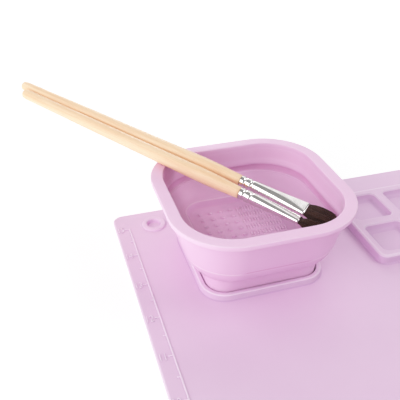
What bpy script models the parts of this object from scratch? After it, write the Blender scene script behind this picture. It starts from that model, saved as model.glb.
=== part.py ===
"""Silicone painting mat with paint wells, a fold-down rinse cup and two flat brushes.

Units are metres, +Z is up, and the origin is the centre of the mat's underside.
The mat's long side runs along X, and its back edge is at +Y.
"""
import math

import bmesh
import bpy
from mathutils import Matrix, Vector

MM = 0.001
GAP = 0.3 * MM                      # clearance between pieces that touch

# Mat: a 20 x 16 inch sheet
MAT_LENGTH = 508.0 * MM
MAT_WIDTH = 406.4 * MM
MAT_THICKNESS = 2.0 * MM
MAT_CORNER = 6.0 * MM
SHEET_TOP = MAT_THICKNESS
LEFT = -MAT_LENGTH / 2
BACK = MAT_WIDTH / 2
ROOT = 1.0 * MM                     # how far a raised feature reaches into the sheet

# Ruler: a raised line with inch and half-inch ticks
INCH = 25.4 * MM
RULER_X = LEFT + 8.05 * MM
RULER_TOP_Y = BACK - 15.0 * MM
RULER_LINE = 1.0 * MM
RULER_HEIGHT = 0.5 * MM
RULER_INCHES = 15
TICK_WIDTH = 0.8 * MM
INCH_TICK = 3.5 * MM
HALF_TICK = 2.0 * MM

# Eyelet: a low ring around a blind round recess
EYELET_CENTRE = (LEFT + 23.1 * MM, BACK - 14.3 * MM)
EYELET_OUTER = 7.3 * MM
EYELET_INNER = 4.0 * MM
EYELET_HEIGHT = 1.0 * MM
EYELET_DEPTH = 1.0 * MM

# Cup socket: a raised rounded-square ring
CUP_CENTRE = (LEFT + 66.4 * MM, BACK - 56.7 * MM)
SOCKET_OUTER = 33.75 * MM
SOCKET_OUTER_CORNER = 13.0 * MM
SOCKET_INNER = 30.9 * MM
SOCKET_INNER_CORNER = 10.5 * MM
SOCKET_HEIGHT = 3.8 * MM
SOCKET_ROUND = 0.8 * MM

# Block of paint wells
BLOCK_LEFT = LEFT + 133.3 * MM
BLOCK_BACK = BACK - 22.9 * MM
BLOCK_HEIGHT = 5.0 * MM
BLOCK_CORNER = 5.5 * MM
BLOCK_DRAFT = 0.4 * MM
BLOCK_MARGIN = 4.7 * MM
WELL_SIZE = 25.0 * MM
WELL_WALL = 5.4 * MM
WELL_CORNER = 3.4 * MM
WELL_DEPTH = 4.2 * MM
WELL_SLOPE = 1.6 * MM               # how far a well's wall leans in over its depth
WELL_COLUMNS = 6
WELL_ROWS = 2
MIXING_WELL_LENGTH = 60.0 * MM

# Heights of the cup are above the sheet's top face
RIM_HEIGHT = 45.3 * MM
RIM_THICKNESS = 2.8 * MM
FLOOR_HEIGHT = 16.0 * MM
FOOT_RECESS_HEIGHT = 12.8 * MM

# Brushes: lengths along the brush, from the end of its handle
TENON_LENGTH = 11.0 * MM
TENON_RADIUS = 2.2 * MM
FERRULE_ROUND = 9.0 * MM            # length of the ferrule that stays round
FERRULE_WALL = 0.35 * MM
PLUG_START = 16.0 * MM              # from the ferrule's start
PLUG_LENGTH = 10.0 * MM
BRUSHES = {
    # Point on the axis over the cup's rim, its distance from the handle's end, heading, dip and roll,
    # lengths of handle, ferrule and free hair, how far the wall pushes the hair aside,
    # and the hair's profile: share of the free length, half width and half thickness
    "rear": dict(point=(-221.08, 187.65, 52.4), along=104.8, heading=-45.95, dip=9.3, roll=9.0,
                 handle=150.4, ferrule=38.0, hair=16.3, push=0.8,
                 tuft=[(0.08, 5.0, 1.25), (0.25, 5.7, 1.6), (0.5, 5.9, 1.7), (0.72, 5.4, 1.4),
                       (0.88, 4.4, 1.0), (0.96, 3.2, 0.6), (1.0, 1.8, 0.35)]),
    "front": dict(point=(-223.24, 177.39, 51.1), along=105.0, heading=-47.55, dip=9.0, roll=-24.0,
                  handle=149.0, ferrule=34.2, hair=16.3, push=3.6,
                  tuft=[(0.08, 4.7, 2.1), (0.25, 4.8, 2.5), (0.5, 4.8, 2.5), (0.72, 4.5, 2.3),
                        (0.88, 3.5, 1.6), (0.96, 2.5, 1.1), (1.0, 1.3, 0.5)]),
}

ARC_STEPS = 6                       # segments in each rounded corner
ROUND_STEPS = 20                    # points around a brush


def clear_scene():
    for obj in list(bpy.data.objects):
        bpy.data.objects.remove(obj, do_unlink=True)


def make_material(name, colour, roughness, metallic=0.0):
    material = bpy.data.materials.new(name)
    material.use_nodes = True
    shader = material.node_tree.nodes["Principled BSDF"]
    shader.inputs["Base Color"].default_value = (*colour, 1.0)
    shader.inputs["Roughness"].default_value = roughness
    shader.inputs["Metallic"].default_value = metallic
    material.diffuse_color = (*colour, 1.0)
    return material


def rounded_rectangle(centre, half_x, half_y, radius, z, steps=ARC_STEPS):
    """Points of a rounded rectangle, counter-clockwise seen from above."""
    corners = ((1, 1, 0), (-1, 1, 90), (-1, -1, 180), (1, -1, 270))
    points = []
    for side_x, side_y, start in corners:
        arc_x = centre[0] + side_x * (half_x - radius)
        arc_y = centre[1] + side_y * (half_y - radius)
        for step in range(steps + 1):
            angle = math.radians(start + 90.0 * step / steps)
            x = arc_x + radius * math.cos(angle)
            y = arc_y + radius * math.sin(angle)
            points.append(Vector((x, y, z)))
    return points


def rounded_square(half, radius, z):
    return rounded_rectangle((0.0, 0.0), half, half, radius, z)


def circle(centre, radius, z, steps=24):
    points = []
    for step in range(steps):
        angle = 2 * math.pi * step / steps
        x = centre[0] + radius * math.cos(angle)
        y = centre[1] + radius * math.sin(angle)
        points.append(Vector((x, y, z)))
    return points


def loft(rings, closed=False):
    """A mesh through rings of equal point counts, capped at both ends unless it closes on itself."""
    bm = bmesh.new()
    loops = [[bm.verts.new(point) for point in ring] for ring in rings]
    pairs = list(zip(loops, loops[1:]))
    if closed:
        pairs.append((loops[-1], loops[0]))
    for lower, upper in pairs:
        for index in range(len(lower)):
            after = (index + 1) % len(lower)
            bm.faces.new((lower[index], lower[after], upper[after], upper[index]))
    if not closed:
        bm.faces.new(reversed(loops[0]))
        bm.faces.new(loops[-1])
    bmesh.ops.recalc_face_normals(bm, faces=bm.faces)
    return bm


def make_object(name, bm, material, parent=None, sharp_angle=40.0):
    mesh = bpy.data.meshes.new(name)
    bm.to_mesh(mesh)
    bm.free()
    mesh.materials.append(material)
    mesh.shade_smooth()
    mesh.set_sharp_from_angle(angle=math.radians(sharp_angle))
    obj = bpy.data.objects.new(name, mesh)
    bpy.context.scene.collection.objects.link(obj)
    obj.parent = parent
    return obj


def make_empty(name, matrix):
    empty = bpy.data.objects.new(name, None)
    bpy.context.scene.collection.objects.link(empty)
    empty.matrix_world = matrix
    return empty


def join_meshes(name, parts):
    """One cutter or adder object that holds several separate closed bodies."""
    joined = bmesh.new()
    for part in parts:
        mesh = bpy.data.meshes.new(name)
        part.to_mesh(mesh)
        part.free()
        joined.from_mesh(mesh)
        bpy.data.meshes.remove(mesh)
    mesh = bpy.data.meshes.new(name)
    joined.to_mesh(mesh)
    joined.free()
    tool = bpy.data.objects.new(name, mesh)
    bpy.context.scene.collection.objects.link(tool)
    tool.hide_render = True
    tool.display_type = "WIRE"
    return tool


def add_boolean(obj, tool, operation):
    modifier = obj.modifiers.new(tool.name, "BOOLEAN")
    modifier.operation = operation
    modifier.solver = "EXACT"
    modifier.object = tool


def bar(left, right, front, back, bottom, top):
    centre = ((left + right) / 2, (front + back) / 2)
    half_x = (right - left) / 2
    half_y = (back - front) / 2
    corner = 0.2 * min(half_x, half_y)
    rings = [rounded_rectangle(centre, half_x, half_y, corner, z, steps=1) for z in (bottom, top)]
    return loft(rings)


# ---------------------------------------------------------------- mat

def ruler_marks():
    """The raised line, its short foot at the zero end, and the ticks that point left from it."""
    bottom = SHEET_TOP - ROOT
    top = SHEET_TOP + RULER_HEIGHT
    length = RULER_INCHES * INCH
    line_left = RULER_X - RULER_LINE / 2
    line_right = RULER_X + RULER_LINE / 2
    line = bar(line_left, line_right, RULER_TOP_Y - length, RULER_TOP_Y, bottom, top)
    ticks = []
    for half_inch in range(2 * RULER_INCHES + 1):
        y = RULER_TOP_Y - half_inch * INCH / 2
        reach = INCH_TICK if half_inch % 2 == 0 else HALF_TICK
        # A tick starts inside the line and stands a hair lower, so that no two faces share a plane
        front = y - TICK_WIDTH / 2
        back = y + TICK_WIDTH / 2
        if half_inch == 0:
            front, back = y - TICK_WIDTH, y - 0.05 * MM
        if half_inch == 2 * RULER_INCHES:
            front, back = y + 0.05 * MM, y + TICK_WIDTH
        ticks.append(bar(RULER_X - reach, RULER_X, front, back, bottom + 0.1 * MM, top - 0.05 * MM))
    return line, ticks


def eyelet_ring():
    bottom = SHEET_TOP - ROOT
    top = SHEET_TOP + EYELET_HEIGHT
    edge = 0.4 * MM
    rings = [
        circle(EYELET_CENTRE, EYELET_OUTER, bottom),
        circle(EYELET_CENTRE, EYELET_OUTER, top - edge),
        circle(EYELET_CENTRE, EYELET_OUTER - edge, top),
        circle(EYELET_CENTRE, EYELET_INNER + edge, top),
        circle(EYELET_CENTRE, EYELET_INNER, top - edge),
        circle(EYELET_CENTRE, EYELET_INNER, bottom),
    ]
    return loft(rings, closed=True)


def eyelet_recess():
    rings = [circle(EYELET_CENTRE, EYELET_INNER - 0.1 * MM, z)
             for z in (SHEET_TOP - EYELET_DEPTH, SHEET_TOP + 2 * EYELET_HEIGHT)]
    return loft(rings)


def socket_ring():
    bottom = SHEET_TOP - ROOT
    top = SHEET_TOP + SOCKET_HEIGHT
    profile = [
        (SOCKET_OUTER, SOCKET_OUTER_CORNER, bottom),
        (SOCKET_OUTER, SOCKET_OUTER_CORNER, top - SOCKET_ROUND),
        (SOCKET_OUTER - 0.3 * SOCKET_ROUND, SOCKET_OUTER_CORNER, top - 0.3 * SOCKET_ROUND),
        (SOCKET_OUTER - SOCKET_ROUND, SOCKET_OUTER_CORNER - SOCKET_ROUND, top),
        (SOCKET_INNER + SOCKET_ROUND, SOCKET_INNER_CORNER, top),
        (SOCKET_INNER, SOCKET_INNER_CORNER, top - SOCKET_ROUND),
        (SOCKET_INNER, SOCKET_INNER_CORNER, bottom),
    ]
    rings = [rounded_rectangle(CUP_CENTRE, half, half, radius, z) for half, radius, z in profile]
    return loft(rings, closed=True)


def well_rectangles():
    """Left, right, front and back of each well: two rows of small wells, then one long well a row."""
    rectangles = []
    pitch = WELL_SIZE + WELL_WALL
    for row in range(WELL_ROWS):
        back = BLOCK_BACK - BLOCK_MARGIN - row * pitch
        for column in range(WELL_COLUMNS):
            left = BLOCK_LEFT + BLOCK_MARGIN + column * pitch
            rectangles.append((left, left + WELL_SIZE, back - WELL_SIZE, back))
        left = BLOCK_LEFT + BLOCK_MARGIN + WELL_COLUMNS * pitch
        rectangles.append((left, left + MIXING_WELL_LENGTH, back - WELL_SIZE, back))
    return rectangles


def well_block():
    bottom = SHEET_TOP - ROOT
    top = SHEET_TOP + BLOCK_HEIGHT
    edge = 0.6 * MM
    pitch = WELL_SIZE + WELL_WALL
    right = BLOCK_LEFT + 2 * BLOCK_MARGIN + WELL_COLUMNS * pitch + MIXING_WELL_LENGTH
    front = BLOCK_BACK - 2 * BLOCK_MARGIN - WELL_ROWS * pitch + WELL_WALL
    centre = ((BLOCK_LEFT + right) / 2, (front + BLOCK_BACK) / 2)
    half_x = (right - BLOCK_LEFT) / 2
    half_y = (BLOCK_BACK - front) / 2
    profile = [
        (0.0, bottom),
        (0.0, SHEET_TOP),
        (BLOCK_DRAFT, top - edge),
        (BLOCK_DRAFT + edge, top),
    ]
    rings = [rounded_rectangle(centre, half_x - inset, half_y - inset, BLOCK_CORNER - inset, z)
             for inset, z in profile]
    return loft(rings)


def well_cutter(rectangle):
    left, right, front, back = rectangle
    top = SHEET_TOP + BLOCK_HEIGHT
    floor = top - WELL_DEPTH
    edge = 0.5 * MM
    centre = ((left + right) / 2, (front + back) / 2)
    half_x = (right - left) / 2
    half_y = (back - front) / 2
    profile = [
        (WELL_SLOPE + 0.9 * MM, floor),
        (WELL_SLOPE, floor + 0.4 * MM),
        (0.55 * WELL_SLOPE, floor + 1.5 * MM),
        (0.0, top - edge),
        (-edge, top),
        (-edge, top + ROOT),
    ]
    rings = []
    for inset, z in profile:
        corner = WELL_CORNER - 0.4 * inset
        rings.append(rounded_rectangle(centre, half_x - inset, half_y - inset, corner, z, steps=4))
    return loft(rings)


def make_mat(material):
    rings = [rounded_rectangle((0.0, 0.0), MAT_LENGTH / 2, MAT_WIDTH / 2, MAT_CORNER, z)
             for z in (0.0, SHEET_TOP)]
    mat = make_object("mat", loft(rings), material)
    line, ticks = ruler_marks()
    add_boolean(mat, join_meshes("mat_line_tool", [line]), "UNION")
    add_boolean(mat, join_meshes("mat_tick_tool", ticks), "UNION")
    raised = [eyelet_ring(), socket_ring(), well_block()]
    add_boolean(mat, join_meshes("mat_raised_tool", raised), "UNION")
    cutters = [well_cutter(rectangle) for rectangle in well_rectangles()]
    cutters.append(eyelet_recess())
    add_boolean(mat, join_meshes("mat_cut_tool", cutters), "DIFFERENCE")
    return mat


# ---------------------------------------------------------------- cup

def cup_rings(profile):
    return [rounded_square(half * MM, radius * MM, height * MM) for half, radius, height in profile]


def make_cup(material_base, material_web, material_wall):
    """A base that sits in the socket, a fold web and a rimmed wall, moulded as one in real life."""
    frame = make_empty("cup_axis", Matrix.Translation((*CUP_CENTRE, SHEET_TOP)))
    floor = FLOOR_HEIGHT / MM
    recess = FOOT_RECESS_HEIGHT / MM
    rim = RIM_HEIGHT / MM
    flange = rim - RIM_THICKNESS / MM
    # Each profile lists half width, corner radius and height in millimetres
    base = [
        (26.0, 6.5, recess),
        (27.2, 7.0, recess - 1.2),
        (27.4, 7.0, 0.4),
        (28.0, 7.5, 0.3),
        (29.8, 9.4, 0.3),
        (30.4, 10.0, 0.9),
        (30.9, 11.5, 6.0),
        (31.6, 14.2, 11.6),
        (32.1, 14.5, 12.2),
        (29.7, 11.4, 19.7),
        (29.1, 11.2, 19.7),
        (28.3, 10.4, 17.6),
        (27.3, 9.6, floor + 0.4),
        (26.5, 8.9, floor),
    ]
    make_object("cup_base", loft(cup_rings(base)), material_base, frame)
    web = [
        (32.5, 14.9, 12.3),
        (33.9, 16.2, 12.9),
        (36.4, 19.0, 15.0),
        (38.7, 21.8, 18.2),
        (40.2, 23.7, 21.7),
        (40.2, 26.6, 27.1),
        (38.4, 23.8, 25.7),
        (34.8, 19.0, 23.0),
        (31.2, 13.6, 20.4),
        (30.1, 11.9, 19.9),
    ]
    make_object("cup_fold_web", loft(cup_rings(web), closed=True), material_web, frame)
    wall = [
        (40.6, 24.1, 21.9),
        (41.2, 25.0, 24.8),
        (42.4, 26.6, 30.0),
        (43.6, 27.8, 35.0),
        (44.9, 28.8, 40.5),
        (45.5, 29.2, flange - 0.4),
        (46.0, 29.7, flange),
        (48.1, 31.6, flange),
        (48.6, 32.1, flange + 0.6),
        (48.6, 32.1, rim - 0.6),
        (48.1, 31.6, rim),
        (42.5, 25.5, rim),
        (42.0, 25.0, rim - 0.5),
        (41.6, 25.1, 36.0),
        (41.2, 25.5, 32.4),
        (42.0, 27.3, 31.2),
        (42.0, 27.5, 29.4),
        (41.2, 27.2, 28.1),
        (40.6, 27.0, 27.5),
    ]
    make_object("cup_upper_wall", loft(cup_rings(wall), closed=True), material_wall, frame)


# ---------------------------------------------------------------- brushes

def section(along, half_width, half_thickness, power, shift=(0.0, 0.0)):
    """A superellipse across the brush's axis: power 2 is an ellipse, and more makes it squarer."""
    points = []
    for step in range(ROUND_STEPS):
        angle = 2 * math.pi * step / ROUND_STEPS
        cosine = math.cos(angle)
        sine = math.sin(angle)
        wide = math.copysign(abs(cosine) ** (2 / power), cosine) * half_width + shift[0]
        thick = math.copysign(abs(sine) ** (2 / power), sine) * half_thickness + shift[1]
        points.append(Vector((along, wide, thick)))
    return points


def ferrule_shape(distance, length):
    """Half width, half thickness and squareness of the ferrule's outside, from its round start."""
    round_radius = 3.2 * MM
    blend = min(max((distance - FERRULE_ROUND) / (length - FERRULE_ROUND), 0.0), 1.0)
    half_width = round_radius + (4.7 * MM - round_radius) * blend
    half_thickness = round_radius + (1.45 * MM - round_radius) * blend ** 1.7
    return half_width, half_thickness, 2.0 + 1.2 * blend


def brush_frame(name, point, along, heading, dip, roll):
    """The brush's own frame: X runs from the handle's end to the hair, Y across the flat hair."""
    yaw = math.radians(heading)
    pitch = math.radians(dip)
    axis = Vector((math.cos(pitch) * math.cos(yaw), math.cos(pitch) * math.sin(yaw), -math.sin(pitch)))
    side = Vector((-math.sin(yaw), math.cos(yaw), 0.0))
    normal = axis.cross(side)
    turn = Matrix.Rotation(math.radians(roll), 3, axis)
    side = turn @ side
    normal = turn @ normal
    origin = Vector(point) * MM - axis * along * MM
    matrix = Matrix((axis, side, normal)).transposed().to_4x4()
    matrix.translation = origin
    return make_empty(name + "_axis", matrix)


def make_handle(name, material, frame, length):
    # Distance from the handle's end, and radius, in millimetres
    profile = [(0.0, 0.9), (0.4, 1.7), (1.2, 2.4), (2.6, 2.8), (6.0, 2.95), (20.0, 3.05), (44.0, 3.3),
               (85.0, 3.62), (114.0, 3.85), (126.0, 3.93), (134.0, 3.8), (141.0, 3.5)]
    rings = [section(along * MM, radius * MM, radius * MM, 2.0) for along, radius in profile]
    rings.append(section(length, 3.12 * MM, 3.12 * MM, 2.0))
    rings.append(section(length, TENON_RADIUS, TENON_RADIUS, 2.0))
    rings.append(section(length + TENON_LENGTH, TENON_RADIUS, TENON_RADIUS, 2.0))
    make_object(name, loft(rings), material, frame)


def make_ferrule(name, material, frame, start, length):
    groove = 0.3 * MM
    # Distance from the ferrule's start and depth of the crimp there, in millimetres
    crimped = [(0.0, 0.0), (1.7, 0.0), (2.3, 1.0), (3.0, 1.0), (3.6, 0.0), (5.6, 0.0), (6.2, 1.0),
               (6.9, 1.0), (7.5, 0.0)]
    stations = [(distance * MM, depth) for distance, depth in crimped]
    steps = 6
    for step in range(steps + 1):
        stations.append((FERRULE_ROUND + (length - FERRULE_ROUND) * step / steps, 0.0))
    outside = []
    inside = []
    for distance, depth in stations:
        half_width, half_thickness, power = ferrule_shape(distance, length)
        half_width -= depth * groove
        half_thickness -= depth * groove
        inner_width = half_width - FERRULE_WALL
        inner_thickness = half_thickness - FERRULE_WALL
        outside.append(section(start + distance, half_width, half_thickness, power))
        inside.append(section(start + distance, inner_width, inner_thickness, power))
    make_object(name, loft(outside + inside[::-1], closed=True), material, frame)


def inner_section(start, distance, length):
    """A section that fits inside the ferrule with the usual clearance."""
    half_width, half_thickness, power = ferrule_shape(distance, length)
    shrink = FERRULE_WALL + GAP
    return section(start + distance, half_width - shrink, half_thickness - shrink, power)


def make_plug(name, material, frame, start, length):
    steps = 4
    rings = []
    for step in range(steps + 1):
        rings.append(inner_section(start, PLUG_START + PLUG_LENGTH * step / steps, length))
    make_object(name, loft(rings), material, frame)


def make_tuft(name, material, frame, start, values):
    """Hair glued in the ferrule, spreading and then closing to a rounded chisel tip."""
    length = values["ferrule"] * MM
    root = PLUG_START + PLUG_LENGTH + GAP
    rings = [inner_section(start, distance, length) for distance in (root, (root + length) / 2, length)]
    roll = math.radians(values["roll"])
    for share, half_width, half_thickness in values["tuft"]:
        bend = values["push"] * MM * share ** 2
        along = start + length + share * values["hair"] * MM
        shift = (bend * math.cos(roll), -bend * math.sin(roll))
        rings.append(section(along, half_width * MM, half_thickness * MM, 2.4, shift))
    make_object(name, loft(rings), material, frame)


def make_brush(side, values, looks):
    name = side + "_brush"
    pose = [values[key] for key in ("point", "along", "heading", "dip", "roll")]
    frame = brush_frame(name, *pose)
    handle = values["handle"] * MM
    start = handle + GAP
    length = values["ferrule"] * MM
    make_handle(name + "_handle", looks["wood"], frame, handle)
    make_ferrule(name + "_ferrule", looks["metal"], frame, start, length)
    make_plug(name + "_glue_plug", looks["glue"], frame, start, length)
    make_tuft(name + "_hair", looks["hair"], frame, start, values)


def main():
    clear_scene()
    looks = {
        "mat": make_material("mat_silicone", (0.73, 0.52, 0.69), 0.5),
        "cup": make_material("cup_silicone", (0.75, 0.53, 0.71), 0.45),
        "wood": make_material("birch", (0.87, 0.68, 0.48), 0.45),
        "metal": make_material("ferrule_metal", (0.82, 0.81, 0.81), 0.22, 1.0),
        "glue": make_material("glue", (0.55, 0.45, 0.30), 0.6),
        "hair": make_material("hair", (0.05, 0.025, 0.022), 0.55),
    }
    make_mat(looks["mat"])
    make_cup(looks["cup"], looks["cup"], looks["cup"])
    for side, values in BRUSHES.items():
        make_brush(side, values, looks)


main()
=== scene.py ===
import math
import random

import bmesh
import bpy
import numpy as np
from mathutils import Matrix, Vector
from mathutils.geometry import delaunay_2d_cdt


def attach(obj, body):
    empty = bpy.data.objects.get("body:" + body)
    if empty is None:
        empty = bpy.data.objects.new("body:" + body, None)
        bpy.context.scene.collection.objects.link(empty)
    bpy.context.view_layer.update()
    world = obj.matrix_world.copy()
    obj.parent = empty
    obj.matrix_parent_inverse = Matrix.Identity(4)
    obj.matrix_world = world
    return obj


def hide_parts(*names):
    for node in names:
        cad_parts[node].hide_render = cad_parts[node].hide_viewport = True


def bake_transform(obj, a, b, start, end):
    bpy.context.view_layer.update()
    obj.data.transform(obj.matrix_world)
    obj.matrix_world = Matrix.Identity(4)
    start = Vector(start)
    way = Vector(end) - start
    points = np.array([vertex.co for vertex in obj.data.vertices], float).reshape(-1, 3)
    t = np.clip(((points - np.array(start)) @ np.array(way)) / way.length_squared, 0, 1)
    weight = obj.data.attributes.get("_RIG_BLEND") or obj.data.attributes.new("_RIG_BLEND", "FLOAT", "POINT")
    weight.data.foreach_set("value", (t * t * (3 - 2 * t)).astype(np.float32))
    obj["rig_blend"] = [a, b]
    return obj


# The looks of a silicone painting mat with a fold-down rinse cup and two flat brushes.
# Metres, +Z up, the mat's long side along X and its back edge at +Y, as in the CAD.
MM = 0.001
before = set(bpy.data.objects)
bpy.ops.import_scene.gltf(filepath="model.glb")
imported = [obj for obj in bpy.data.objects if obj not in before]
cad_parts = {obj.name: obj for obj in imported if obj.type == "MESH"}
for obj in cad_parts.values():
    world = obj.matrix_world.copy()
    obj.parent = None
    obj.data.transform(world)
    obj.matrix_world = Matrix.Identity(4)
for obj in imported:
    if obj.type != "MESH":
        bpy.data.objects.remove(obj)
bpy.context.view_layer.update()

# Camera
CAMERA_PLACE = (-289.062 * MM, -93.393 * MM, 208.495 * MM)
CAMERA_TURN = (56.6267, -0.1398, -17.0455)   # degrees
CAMERA_LENS = 52.89
CAMERA_SENSOR = 36.0

# Studio: light name, compass turn and rise in degrees, side in metres, power in watts
STUDIO_CENTRE = Vector((-0.19, 0.15, 0.03))
SOFTBOX_REACH = 1.1
SOFTBOXES = (("back_light", 47, 35, 0.9, 2.1), ("low_back_light", 80, 15, 0.5, 2.7),
             ("front_left_light", 210, 37, 0.9, 6.7), ("left_light", 140, 35, 0.5, 1.3),
             ("right_light", 343, 40, 0.5, 3.6), ("low_left_light", 163, 15, 0.5, 1.3),
             ("low_front_light", 228, 15, 0.5, 1.8))
WORLD_LIGHT = 0.35
TABLE_GLOW = 0.39
# How bright light is shown: straight up to a half, then rolled off to white
FILM_WHITE = 1.35
FILM_CURVE = ((0.25, 0.25), (0.5, 0.5), (0.8, 0.75), (1.0, 0.88), (1.2, 0.97))

# Mat
MAT_LENGTH = 508.0 * MM
MAT_WIDTH = 406.4 * MM
MAT_CORNER = 6.0 * MM
SHEET_TOP = 2.0 * MM
LEFT = -MAT_LENGTH / 2
BACK = MAT_WIDTH / 2
INCH = 25.4 * MM
RULER_X = LEFT + 8.05 * MM
RULER_TOP_Y = BACK - 15.0 * MM
RULER_LINE = 1.0 * MM
RULER_INCHES = 15
TICK_WIDTH = 0.8 * MM
INCH_TICK = 2.7 * MM
HALF_TICK = 1.8 * MM
NUMERAL_X = LEFT + 3.05 * MM
NUMERAL_HEIGHT = 4.2 * MM
NUMERAL_SQUEEZE = 0.72
EYELET_CENTRE = (LEFT + 23.1 * MM, BACK - 14.3 * MM)
CUP_CENTRE = (LEFT + 66.4 * MM, BACK - 56.7 * MM)
BLOCK_LEFT = LEFT + 133.3 * MM
BLOCK_BACK = BACK - 22.9 * MM
BLOCK_HEIGHT = 5.0 * MM
BLOCK_CORNER = 4.8 * MM
BLOCK_MARGIN = 4.7 * MM
WELL_SIZE = 25.0 * MM
WELL_WALL = 5.4 * MM
WELL_CORNER = 4.1 * MM
WELL_CORNER_TIGHTENING = 0.45        # by how much of the inset the corner's radius shrinks
WELL_LEAST_CORNER = 0.5 * MM
WELL_COLUMNS = 6
WELL_ROWS = 2
MIXING_WELL_LENGTH = 60.0 * MM
PRINT_HEIGHT = 0.5 * MM
PRINT_EDGE = 0.28 * MM
PRINT_CORNER = 0.22 * MM
PRINT_LEAST_CORNER = 0.03 * MM
NUMERAL_EDGE = 0.05 * MM
NUMERAL_BOLDNESS = 0.005
NUMERAL_SPACING = 1.05
NUMERAL_CURVE_STEPS = 4
NUMERAL_POINT_GAP = 0.06 * MM
CORNER_STEPS = 14
WELL_CORNER_STEPS = 8
CIRCLE_STEPS = 48
# Places in a list of rings where one part of a shape ends and the next begins
BLOCK_LIP = 6
WELL_BRIM = 2
WELL_LIP = 5
SOCKET_FOOT = 1
SOCKET_WALL = 4
SOCKET_LIP = 6
SOCKET_TOP = 9
# Tones: above zero for painted shade in a recess, below zero for a painted highlight on raised parts
SOCKET_SHADE = 0.12
FOOT_LINE_SHADE = 0.5
WELL_FLOOR_SHADE = 0.15
WELL_SHADE = 0.35
LIP_HIGHLIGHT = -0.65
PRINT_HIGHLIGHT = -0.75
PRINT_FOOT_SHADE = 0.6
NUMERAL_HIGHLIGHT = -1.0
# How much of the painted edge highlight and crease shade shows: 1 is all of them
FAINT_EDGE_SHADING = 0.3
SOFT_EDGE_SHADING = 0.5

# Brushes: millimetres and degrees
FERRULE_GAP = 0.3
FERRULE_ROUND = 9.0                  # the length that stays round
FERRULE_RADIUS = 3.2
FERRULE_SPREAD = 1.5                 # how much half width it gains where it is pressed
FERRULE_THINNING = 0.7               # and how much half thickness it loses
FERRULE_WALL = 0.35
FERRULE_EDGE = 0.12
CRIMPS = (2.65, 6.55)                # distances from the end by the handle
CRIMP_REACH = 1.0
CRIMP_DEPTH = 0.42
CRIMP_STEP = 0.25
CRIMP_STATIONS = 35
PRESS_STATIONS = 24
PRESS_START = 4.2                    # height of the pressed faces at the round end
PRESS_DROP = 2.75                    # how far they come down towards the hair
PRESS_SHARPNESS = 10.0
HANDLE_STEPS = 5
HANDLE_CHAMFER = 0.3
HANDLE_END_RADIUS = 3.12
HANDLE_FACE_RADIUS = 2.9
TENON_RADIUS = 2.2
TENON_LENGTH = 11.0
BRUSH_STEPS = 48
HAIR_COUNT = 620
HAIR_STEPS = 7
HAIR_ROOT = 0.12                     # depth in the ferrule, as a share of the free length
HAIR_TURNS = (0.5, 2.6, 4.7)         # the corners of its three-sided section, in radians
HAIR_TAPER = 0.75
HAIR_THINNEST = 0.07
HAIR_THICKEST = 0.11
HAIR_INNERMOST = 0.35                # share of the tuft's section that is left to the core
HAIR_SQUARENESS = 0.8
HAIR_DRIFT_ACROSS = 0.12
HAIR_DRIFT_OUT = 0.05
TIP_ROUNDING = 0.10
TIP_RAGGEDNESS = 0.09
CORE_SHARES = (-0.4, -0.1, 0.0, 0.1, 0.25, 0.4, 0.55, 0.68, 0.78, 0.86, 0.92)
CORE_FILL = 0.86
ROOT_FILL = 0.95
CORE_STEPS = 28
CORE_POWER = 2.4
BRUSHES = {
    # Point is on the axis, at the distance along from the handle's end; push bends the hair's tip.
    # The tuft lists shares of the free length with the hair's half width and half thickness there
    "rear": dict(point=(-221.08, 187.65, 52.4), along=104.8, heading=-45.95, dip=9.3, roll=9.0,
                 handle=150.4, ferrule=38.0, hair=16.3, push=0.8, seed=11,
                 tuft=((0.0, 4.25, 1.0), (0.08, 5.0, 1.25), (0.25, 5.7, 1.6), (0.5, 5.9, 1.7),
                       (0.72, 5.4, 1.4), (0.88, 4.4, 1.0), (0.96, 3.2, 0.6), (1.0, 1.8, 0.35))),
    "front": dict(point=(-223.24, 177.39, 51.1), along=105.0, heading=-47.55, dip=9.0, roll=-24.0,
                  handle=149.0, ferrule=34.2, hair=16.3, push=3.6, seed=29,
                  tuft=((0.0, 4.25, 1.0), (0.08, 4.7, 2.1), (0.25, 4.9, 2.7), (0.5, 4.9, 2.8),
                        (0.72, 4.5, 2.4), (0.88, 3.5, 1.7), (0.96, 2.5, 1.1), (1.0, 1.3, 0.5))),
}

# Colours, and how strongly a mark covers what is under it
SCUFF_COLOUR = (0.86, 0.74, 0.83)
SCUFF_SHARE = 0.10
DUST_COLOUR = (0.88, 0.80, 0.86)
DUST_SHARE = 0.25
WOOD_PALE = (1.0, 0.73, 0.50)
WOOD_DEEP = (0.93, 0.59, 0.37)
FIBRE_COLOUR = (0.76, 0.44, 0.24)
FIBRE_SHARE = 0.34
PORE_COLOUR = (0.50, 0.29, 0.14)
PORE_SHARE = 0.35
NICKEL_PALE = (0.87, 0.845, 0.83)
NICKEL_DEEP = (0.76, 0.73, 0.715)
HAIR_DARK = (0.022, 0.008, 0.007)
HAIR_PALE_AND_HIGHLIGHT = (0.120, 0.052, 0.040)
PATCH_COLOUR = (0.13, 0.055, 0.040)
PATCH_SHARE = 0.5
# Pointiness where the painted edge highlight and crease shade start and are full, and their shares there
HIGHLIGHT_BEND = (0.504, 0.550, 0.0, 0.9)
SHADE_BEND = (0.496, 0.440, 0.0, 0.8)
# Angles in degrees where shading breaks
SHARP_CUP = 50
SHARP_WOOD = 40
SHARP_NICKEL = 50

# Studio floor
FLOOR_REACH = 4.0
FLOOR_DROP = 0.05 * MM


# ---------------------------------------------------------------- camera and studio

def make_camera():
    camera = bpy.data.objects.new("camera", bpy.data.cameras.new("camera"))
    bpy.context.scene.collection.objects.link(camera)
    camera.location = CAMERA_PLACE
    camera.rotation_euler = [math.radians(angle) for angle in CAMERA_TURN]
    camera.data.lens = CAMERA_LENS
    camera.data.sensor_width = CAMERA_SENSOR
    camera.data.clip_start = 0.01
    camera.data.clip_end = 20.0
    bpy.context.scene.camera = camera


make_camera()


# ---------------------------------------------------------------- material helpers

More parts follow.
